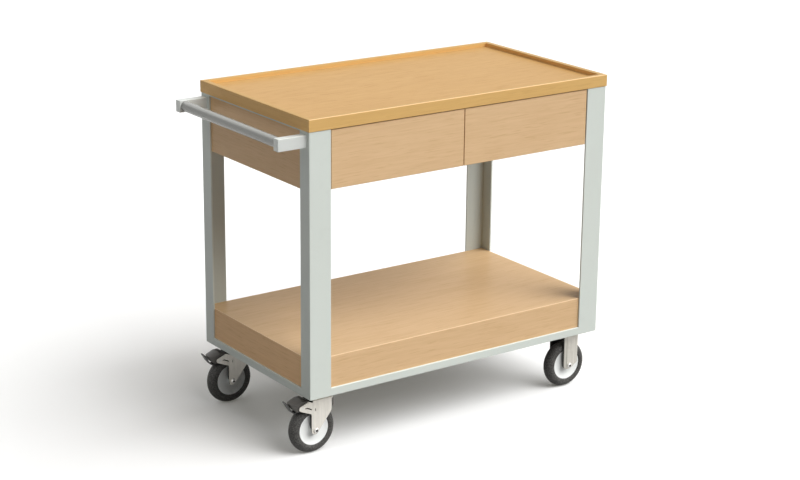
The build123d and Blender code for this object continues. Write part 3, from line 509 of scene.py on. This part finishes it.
def plywood(name, colours, along, across, grain, seed):
    """Birch plywood whose layers show on its cut edges."""
    finish = Finish(name, {"IOR": 1.48})
    offset = tuple(seed * step for step in PLY_STEP)
    layers = finish.axis(across).zigzag(PLY_LAYER).above(0.45 * PLY_LAYER, 0.60 * PLY_LAYER)
    fine = lengthwise(along, grain.stretch)
    streak = finish.noise(grain.streak, detail=3.0, rough=0.6, factors=fine, offset=offset)
    cloud = finish.noise(0.09)
    tone = finish.mix(layers * 0.65, colours.ply, colours.ply_core)
    tone = finish.shade(tone, streak * 0.16 + cloud * 0.10)
    return finish.surface(tone, 0.55 + 0.12 * streak, height=1 - streak, depth=grain.relief, edge=0.0005)


def plated_steel(name, colour, metallic=0.45, rough=0.36, along=Z_AXIS):
    """Bright zinc plate: a soft mottle, drawing streaks along one axis and dulled spots."""
    finish = Finish(name, {"Metallic": metallic})
    mottle = finish.noise(0.006, detail=3.0, rough=0.6)
    lines = finish.noise(0.0009, factors=lengthwise(along, stretch=25))
    streaks = finish.noise(0.0045, factors=lengthwise(along, stretch=20)).above(0.35, 0.70)
    dull = finish.noise(0.018, detail=3.0).above(0.50, 0.78)
    tone = finish.shade(colour, 0.07 * mottle + 0.07 * dull + 0.09 * streaks)
    roughness = rough + 0.12 * dull + 0.08 * lines
    return finish.surface(tone, roughness, height=mottle + lines * 0.4, depth=0.00002, edge=0.0006)


def fastener_steel(name, colour):
    """Brighter zinc plate of bolts, pins and screws."""
    return plated_steel(name, colour, metallic=0.8, rough=0.28)


def fork_steel(name, colour, inside, crown, edge_top, edge):
    """Zinc plate with painted shade: dark between a fork's legs, and on part of the legs' turned edges."""
    finish = plated_steel(name, colour)
    from_wheel = (finish.axis(Y_AXIS).size() - abs(middle("swivel_hub_front").y)).size()
    from_leg = from_wheel - FORK_HALF_GAP
    height = finish.axis(Z_AXIS)
    # painted shade between the legs under the crown, and on part of the legs' turned edges
    between = (1 - from_leg.past(LEG_FACE, fade=0.0004)) * (1 - height.past(crown, fade=0.0008))
    edges = (1 - from_leg.past(edge, fade=0.0006)) * (1 - height.past(edge_top, fade=0.001))
    return finish.recolour(between.either(edges), inside)


def axle_steel(name, colour, wheel):
    """Plated axle bolts with painted shade inside their key sockets, in the heads in front of the wheels."""
    finish = fastener_steel(name, colour)
    along = finish.axis(X_AXIS) - wheel.x
    up = finish.axis(Z_AXIS) - wheel.z
    across = finish.axis(Y_AXIS)
    from_axis = (along * along + up * up).root()
    from_wheel = across - across.sign() * abs(wheel.y)
    in_socket = 1 - from_axis.past(SOCKET_R, fade=0.0006)
    in_head = 1 - from_wheel.past(-SOCKET_FROM_WHEEL, fade=0.01)
    return finish.recolour(in_socket * in_head, SOCKET_PAINTED_SHADE)


def brushed_metal(name, colour, along, rough=0.42):
    """Satin metal brushed along one axis."""
    finish = Finish(name, {"Metallic": 0.2, "Anisotropic": 0.5})
    drawn = lengthwise(along, stretch=80)
    lines = finish.noise(0.0007, detail=3.0, rough=0.6, factors=drawn)
    broad = finish.noise(0.004, factors=drawn)
    tone = finish.shade(colour, 0.12 * lines + 0.05 * broad)
    return finish.surface(tone, rough + 0.16 * lines, height=lines, depth=0.00002, edge=0.0009)


def moulded_plastic(name, colour, rough, pebble, depth, mottle=1.0):
    """Moulded plastic with a pebbled skin."""
    finish = Finish(name, {"IOR": 1.5})
    skin = finish.noise(pebble)
    cloud = finish.noise(0.025, detail=3.0)
    tone = finish.shade(colour, (0.10 * cloud + 0.06 * skin) * mottle)
    return finish.surface(tone, rough + 0.10 * skin, height=skin, depth=depth, edge=0.0008)


def rubber(name, colour):
    """Dull dark rubber, scuffed and speckled with dust."""
    finish = Finish(name, {"IOR": 1.45})
    skin = finish.noise(0.0007)
    bloom = finish.noise(0.012, detail=4.0, rough=0.65).above(0.42, 0.75)
    speckle = finish.noise(0.0034, detail=3.0, rough=0.75).above(0.40, 0.64)
    clean = tuple(channel * 0.55 for channel in colour)
    dusty = tuple(channel * 2.0 + 0.020 for channel in colour)
    tone = finish.mix(bloom * 0.2 + speckle * 0.7, clean, dusty)
    return finish.surface(tone, 0.62 + 0.14 * bloom, height=skin + speckle, depth=0.00008)


# Operators, one for each group of like pieces


class TROLLEY_OT_frame(bpy.types.Operator):
    """Powder coats the posts, rails and plates of the frame"""

    bl_idname = "trolley.frame"
    bl_label = "Frame"
    bl_options = {"REGISTER", "UNDO"}

    def execute(self, context):
        colours = context.scene.trolley_colours
        posts = [f"post_{side}_{end}" for side in SIDES for end in ENDS]
        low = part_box("post_front_left")[0]
        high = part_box("post_back_right")[1]
        powder_coat("frame_paint", colours.paint, low, high).on(
            *posts, "base_rails_long", "base_rails_short", "corner_plates", "top_rails"
        )
        return {"FINISHED"}


class TROLLEY_OT_tray(bpy.types.Operator):
    """Finishes the tray board and its lips"""

    bl_idname = "trolley.tray"
    bl_label = "Tray"
    bl_options = {"REGISTER", "UNDO"}

    def execute(self, context):
        colours = context.scene.trolley_colours
        grain = context.scene.trolley_grain
        laminate = beech("tray_laminate", colours.tray, X_AXIS, grain, seed=1, gloss=0.05, tint=1.3)
        laminate.on("tray_board")
        long_lip = lipping("lip_long", colours.lip, colours.lip_top_painted_shade, X_AXIS, grain, seed=2)
        # painted highlight on the long lips' outer arrises
        long_lip.recolour(long_lip.arris(*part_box("tray_lips_long"), **LIP_HIGHLIGHT), colours.lip_edge_highlight)
        long_lip.on("tray_lips_long")
        # the end lips take the lighter copy of the lip colour, painted light
        short_lip = lipping("lip_short", colours.lip_end_painted_light, colours.lip_top_painted_shade, Y_AXIS, grain, seed=3)
        short_lip.on("tray_lips_short")
        return {"FINISHED"}


class TROLLEY_OT_boards(bpy.types.Operator):
    """Finishes the case panels and the drawer fronts"""

    bl_idname = "trolley.boards"
    bl_label = "Boards"
    bl_options = {"REGISTER", "UNDO"}

    def execute(self, context):
        colours = context.scene.trolley_colours
        grain = context.scene.trolley_grain
        boards = {
            "drawer_left_front": (colours.board, X_AXIS),
            "drawer_right_front": (colours.board, X_AXIS),
            # the end panels take the lighter copy of the board colour, painted light
            "end_panel_left": (colours.end_board_painted_light, Y_AXIS),
            "end_panel_right": (colours.end_board_painted_light, Y_AXIS),
            "back_panel": (colours.board, X_AXIS),
            "centre_divider": (colours.board, Y_AXIS),
        }
        for seed, (board, (colour, along)) in enumerate(boards.items(), start=4):
            beech(f"beech_{board}", colour, along, grain, seed, gloss=0.20).on(board)
        return {"FINISHED"}


class TROLLEY_OT_shelf(bpy.types.Operator):
    """Finishes the lower shelf, with a darker backing sheet of painted shade on its inside"""

    bl_idname = "trolley.shelf"
    bl_label = "Shelf"
    bl_options = {"REGISTER", "UNDO"}

    def execute(self, context):
        colours = context.scene.trolley_colours
        grain = context.scene.trolley_grain
        boards = {
            # the deck takes the darker copy of the board colour, painted shade
            "deck": (colours.deck, X_AXIS),
            "skirts_long": (colours.board, X_AXIS),
            # the shelf's end skirts take the lighter copy of the board colour, painted light
            "skirts_short": (colours.end_skirt_painted_light, Y_AXIS),
        }
        for seed, (board, (colour, along)) in enumerate(boards.items(), start=10):
            shelf_board(f"beech_{board}", colour, colours, along, grain, seed).on(f"shelf_{board}")
        return {"FINISHED"}


class TROLLEY_OT_drawer_boxes(bpy.types.Operator):
    """Finishes the plywood boxes of the drawers and the packers beside them"""

    bl_idname = "trolley.drawer_boxes"
    bl_label = "Drawer boxes"
    bl_options = {"REGISTER", "UNDO"}

    def execute(self, context):
        colours = context.scene.trolley_colours
        grain = context.scene.trolley_grain
        pieces = {"sides": (Y_AXIS, X_AXIS), "back": (X_AXIS, Y_AXIS), "bottom": (X_AXIS, Z_AXIS)}
        for seed, (piece, (along, across)) in enumerate(pieces.items(), start=20):
            made = plywood(f"ply_{piece}", colours, along, across, grain, seed)
            made.on(*[f"drawer_{end}_{piece}" for end in ENDS])
        plywood("ply_packers", colours, Y_AXIS, X_AXIS, grain, seed=24).on("runner_packers")
        return {"FINISHED"}


class TROLLEY_OT_runners(bpy.types.Operator):
    """Plates the drawer runners"""

    bl_idname = "trolley.runners"
    bl_label = "Drawer runners"
    bl_options = {"REGISTER", "UNDO"}

    def execute(self, context):
        colours = context.scene.trolley_colours
        made = plated_steel("runner_zinc", colours.runner, metallic=0.7, rough=0.3, along=Y_AXIS)
        made.on("cabinet_runners", *[f"drawer_{end}_runners" for end in ENDS])
        return {"FINISHED"}


class TROLLEY_OT_handle(bpy.types.Operator):
    """Brushes the handle's brackets along their length, and its bar along the bar"""

    bl_idname = "trolley.handle"
    bl_label = "Handle"
    bl_options = {"REGISTER", "UNDO"}

    def execute(self, context):
        colours = context.scene.trolley_colours
        brushed_metal("bracket_brushed", colours.bracket, X_AXIS).on(*both("handle_bracket"))
        brushed_metal("bar_brushed", colours.bar, Y_AXIS, rough=0.17).on("handle_bar")
        return {"FINISHED"}


class TROLLEY_OT_casters(bpy.types.Operator):
    """Plates the casters' plates and forks"""

    bl_idname = "trolley.casters"
    bl_label = "Caster steel"
    bl_options = {"REGISTER", "UNDO"}

    def execute(self, context):
        colours = context.scene.trolley_colours
        swivel = fork_steel("swivel_zinc", colours.zinc, colours.fork_painted_shade, **SWIVEL_FORK_SHADE)
        swivel.on(*both("swivel_plate"), *both("swivel_fork"))
        fixed = fork_steel("fixed_zinc", colours.dull_zinc, colours.fork_painted_shade, **FIXED_FORK_SHADE)
        fixed.on(*both("fixed_fork"))
        return {"FINISHED"}


class TROLLEY_OT_fasteners(bpy.types.Operator):
    """Plates the bolts, pins and screws"""

    bl_idname = "trolley.fasteners"
    bl_label = "Fasteners"
    bl_options = {"REGISTER", "UNDO"}

    def execute(self, context):
        colours = context.scene.trolley_colours
        fastener_steel("bolt_zinc", colours.bolt).on(
            "caster_bolts", "kingpins", "tray_screws", "handle_screws", *both("pedal_pin")
        )
        swivel = axle_steel("swivel_axle_zinc", colours.bolt, middle("swivel_hub_front"))
        swivel.on(*both("swivel_axle"))
        axle_steel("fixed_axle_zinc", colours.bolt, middle("fixed_hub_front")).on("fixed_axles")
        return {"FINISHED"}


class TROLLEY_OT_screws(bpy.types.Operator):
    """Models the pan-head screws of the drawer runners and of the shelf"""

    bl_idname = "trolley.screws"
    bl_label = "Screws"
    bl_options = {"REGISTER", "UNDO"}

    def execute(self, context):
        screws = context.scene.trolley_screws
        rows = {
            "cabinet_runner_screws": ("frame", cabinet_screw_places(screws)),
            "shelf_screws": ("frame", shelf_screw_places(screws)),
        }
        for end in ENDS:
            rows[f"drawer_{end}_runner_screws"] = (f"drawer_{end}", drawer_screw_places(end, screws))
        head = pan_head(screws)
        finish = fastener_steel("screw_zinc", context.scene.trolley_colours.bolt)
        for name, (body, places) in rows.items():
            piece = copies(head, name, places)
            finish.on(name)
            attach(piece, body)
        bpy.data.objects.remove(head)
        return {"FINISHED"}


class TROLLEY_OT_wheels(bpy.types.Operator):
    """Finishes the wheel centres and the tyres"""

    bl_idname = "trolley.wheels"
    bl_label = "Wheels"
    bl_options = {"REGISTER", "UNDO"}

    def execute(self, context):
        colours = context.scene.trolley_colours
        hubs = moulded_plastic(
            "hub_plastic", colours.hub, rough=0.28, pebble=0.0012, depth=0.00001, mottle=0.2
        )
        hubs.on(*both("swivel_hub"), *both("fixed_hub"))
        rubber("tyre_rubber", colours.tyre).on(*both("swivel_tyre"), *both("fixed_tyre"))
        return {"FINISHED"}


class TROLLEY_OT_brakes(bpy.types.Operator):
    """Finishes the brake pedals and their levers"""

    bl_idname = "trolley.brakes"
    bl_label = "Brakes"
    bl_options = {"REGISTER", "UNDO"}

    def execute(self, context):
        colours = context.scene.trolley_colours
        pedals = moulded_plastic("pedal_plastic", colours.pedal, rough=0.42, pebble=0.0008, depth=0.00004)
        pedals.on(*both("pedal"))
        levers = moulded_plastic("lever_coat", colours.lever, rough=0.38, pebble=0.0015, depth=0.00003)
        levers.on(*both("brake_lever"))
        return {"FINISHED"}


class TROLLEY_OT_stage(bpy.types.Operator):
    """Sets the pale floor, the soft studio light and the camera"""

    bl_idname = "trolley.stage"
    bl_label = "Stage"
    bl_options = {"REGISTER", "UNDO"}

    def execute(self, context):
        stage = context.scene.trolley_stage
        make_floor(stage)
        make_world(context.scene)
        for lamp in LAMPS:
            towards = getattr(stage, f"{lamp}_from")
            strength = getattr(stage, f"{lamp}_light")
            make_lamp(f"{lamp}_lamp", towards, strength, stage.softness)
        make_camera(context.scene, stage)
        context.scene.view_settings.view_transform = "Standard"
        return {"FINISHED"}


# Screws


def pan_head(screws):
    """Pan head with a crossed recess, its seat at the origin and its top towards +Z."""
    bpy.ops.object.select_all(action="DESELECT")
    bpy.ops.mesh.primitive_cylinder_add(
        vertices=HEAD_SIDES, radius=screws.radius, depth=screws.height, location=(0, 0, screws.height / 2)
    )
    head = bpy.context.object
    bpy.ops.object.transform_apply(location=True)
    bpy.ops.object.mode_set(mode="EDIT")
    bpy.ops.mesh.select_mode(type="EDGE")
    pick(head, "edges", lambda edge: all(corner.co.z > screws.height / 2 for corner in edge.verts))
    bpy.ops.mesh.bevel(offset=screws.crown, segments=CROWN_STEPS, affect="EDGES")
    bpy.ops.object.mode_set(mode="OBJECT")
    for arm in ((screws.arm, screws.slot), (screws.slot, screws.arm)):
        cut_recess(head, arm, screws)
    bpy.ops.object.shade_smooth_by_angle(angle=SMOOTH_BELOW)
    return head


def pick(piece, kind, wanted):
    """Selects the wanted vertices or edges of a piece in edit mode, and nothing else."""
    bpy.ops.mesh.select_all(action="DESELECT")
    mesh = bmesh.from_edit_mesh(piece.data)
    for element in getattr(mesh, kind):
        element.select_set(wanted(element))
    bmesh.update_edit_mesh(piece.data)


def cut_recess(head, arm, screws):
    """Cuts one arm of the recess, narrower at its foot, into the top of a head."""
    bpy.ops.object.select_all(action="DESELECT")
    bpy.ops.mesh.primitive_cube_add(size=1, location=(0, 0, screws.height))
    cutter = bpy.context.object
    cutter.scale = (*arm, 2 * screws.depth)
    bpy.ops.object.transform_apply(location=True, scale=True)
    bpy.ops.object.mode_set(mode="EDIT")
    bpy.ops.mesh.select_mode(type="VERT")
    pick(cutter, "verts", lambda corner: corner.co.z < screws.height)
    bpy.ops.transform.resize(value=(RECESS_TAPER, RECESS_TAPER, 1), center_override=(0, 0, 0))
    bpy.ops.object.mode_set(mode="OBJECT")
    bpy.context.view_layer.objects.active = head
    cut = head.modifiers.new("recess", "BOOLEAN")
    cut.operation = "DIFFERENCE"
    cut.object = cutter
    bpy.ops.object.modifier_apply(modifier=cut.name)
    bpy.data.objects.remove(cutter)
    head.select_set(True)


def copies(head, name, places):
    """One piece of copies of a head, each with its seat at a point and its top in a direction."""
    bpy.ops.object.select_all(action="DESELECT")
    for seat, top in places:
        mesh = head.data.copy()
        turn = Vector(top).to_track_quat("Z", "Y").to_matrix().to_4x4()
        mesh.transform(Matrix.Translation(seat) @ turn)
        copy = bpy.data.objects.new(name, mesh)
        bpy.context.collection.objects.link(copy)
        copy.select_set(True)
    bpy.context.view_layer.objects.active = copy
    bpy.ops.object.join()
    copy.name = name
    return copy


def evenly(low, high, margin):
    """Places of a row of screws, spread evenly between two ends, a margin from each."""
    step = (high - low - 2 * margin) / (SCREWS_A_ROW - 1)
    return [low + margin + step * index for index in range(SCREWS_A_ROW)]


def runner_screws(low, high, webs, screws):
    """Seats along the runners in a box, on webs given by their place and the way that they face in X."""
    height = (low.z + high.z) / 2
    along = evenly(low.y, high.y, screws.runner_end)
    return [(Vector((web, y, height)), (facing, 0, 0)) for web, facing in webs for y in along]


def drawer_screw_places(end, screws):
    """Seats in the two channels on a drawer's sides, which face away from the drawer."""
    left, right = [corner.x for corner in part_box(f"drawer_{end}_sides")]
    webs = ((left - RUNNER_STEEL, -1), (right + RUNNER_STEEL, 1))
    return runner_screws(*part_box(f"drawer_{end}_runners"), webs, screws)


def cabinet_screw_places(screws):
    """Seats in the four channels on the packers and the divider, which face the drawers."""
    low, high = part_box("cabinet_runners")
    left, right = [corner.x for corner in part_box("centre_divider")]
    outer = ((low.x + RUNNER_STEEL, 1), (high.x - RUNNER_STEEL, -1))
    inner = ((left - RUNNER_STEEL, -1), (right + RUNNER_STEEL, 1))
    return runner_screws(low, high, outer + inner, screws)


def shelf_screw_places(screws):
    """Seats under the flanges of the long base rails, below the middle of the skirts."""
    low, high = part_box("base_rails_long")
    front, back = [corner.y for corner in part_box("shelf_skirts_long")]
    skirts = (front + BOARD / 2, back - BOARD / 2)
    along = evenly(low.x, high.x, screws.shelf_end)
    return [(Vector((x, y, low.z)), (0, 0, -1)) for y in skirts for x in along]


# Stage


def make_floor(stage):
    """Pale floor that takes the trolley's shadow, darker where it would throw light back up."""
    bpy.ops.object.select_all(action="DESELECT")
    bpy.ops.mesh.primitive_plane_add(size=stage.floor)
    floor = bpy.context.object
    floor.name = "floor"
    finish = Finish("floor_pale", {"Specular IOR Level": 0.0, "Emission Strength": stage.floor_lift})
    shown = finish.background_rays()
    tone = finish.mix(shown, [stage.floor_bounce] * 3, [stage.floor_tone] * 3)
    finish.surface(tone, roughness=1.0)
    finish.feed(finish.shader.inputs["Emission Color"], finish.mix(shown, (0, 0, 0), stage.lift_tint))
    finish.on("floor")


def make_world(scene):
    """White background, which lights nothing but shows in the picture and in reflections."""
    world = bpy.data.worlds.new("studio")
    world.use_nodes = True
    scene.world = world
    wiring = Wiring(world.node_tree)
    background = wiring.tree.nodes["Background"]
    background.inputs["Color"].default_value = (1, 1, 1, 1)
    wiring.feed(background.inputs["Strength"], wiring.background_rays())


def make_lamp(name, towards, strength, softness):
    """Broad soft lamp, far away in one direction."""
    bpy.ops.object.light_add(type="SUN")
    lamp = bpy.context.object
    lamp.name = name
    lamp.data.energy = strength
    lamp.data.angle = softness
    lamp.rotation_mode = "QUATERNION"
    lamp.rotation_quaternion = Vector(towards).to_track_quat("Z", "Y")


def make_camera(scene, stage):
    """Camera at the picture's viewing angle."""
    bpy.ops.object.camera_add(location=stage.camera)
    camera = bpy.context.object
    camera.name = "camera"
    camera.data.lens = stage.lens
    camera.data.clip_end = stage.floor * 2
    sight = Vector(stage.aim) - Vector(stage.camera)
    camera.rotation_mode = "QUATERNION"
    camera.rotation_quaternion = sight.to_track_quat("-Z", "Y") @ Quaternion((0, 0, 1), stage.roll)
    scene.camera = camera


# Panel and registration


class TROLLEY_PT_panel(bpy.types.Panel):
    """Lists the trolley's operators and settings in the 3D view's sidebar"""

    bl_idname = "TROLLEY_PT_panel"
    bl_label = "Serving trolley"
    bl_space_type = "VIEW_3D"
    bl_region_type = "UI"
    bl_category = "Trolley"

    def draw(self, context):
        for operator in OPERATORS:
            self.layout.operator(operator.bl_idname)
        for group, kind in SETTINGS.items():
            column = self.layout.column(align=True)
            for setting in kind.__annotations__:
                column.prop(getattr(context.scene, group), setting)


SETTINGS = {
    "trolley_colours": TrolleyColours,
    "trolley_grain": TrolleyGrain,
    "trolley_screws": TrolleyScrews,
    "trolley_stage": TrolleyStage,
}
OPERATORS = (
    TROLLEY_OT_frame,
    TROLLEY_OT_tray,
    TROLLEY_OT_boards,
    TROLLEY_OT_shelf,
    TROLLEY_OT_drawer_boxes,
    TROLLEY_OT_runners,
    TROLLEY_OT_handle,
    TROLLEY_OT_casters,
    TROLLEY_OT_fasteners,
    TROLLEY_OT_screws,
    TROLLEY_OT_wheels,
    TROLLEY_OT_brakes,
    TROLLEY_OT_stage,
)
CLASSES = (*SETTINGS.values(), *OPERATORS, TROLLEY_PT_panel)


def register():
    """Registers the classes and hangs the settings on the scene."""
    for made in CLASSES:
        bpy.utils.register_class(made)
    for group, kind in SETTINGS.items():
        setattr(bpy.types.Scene, group, bpy.props.PointerProperty(type=kind))


def unregister():
    """Takes the settings and the classes away again."""
    for group in SETTINGS:
        delattr(bpy.types.Scene, group)
    for made in reversed(CLASSES):
        bpy.utils.unregister_class(made)


def main():
    """Runs the operators in order."""
    register()
    for operator in OPERATORS:
        action = operator.bl_idname.removeprefix("trolley.")
        getattr(bpy.ops.trolley, action)()


if __name__ == "__main__":
    main()
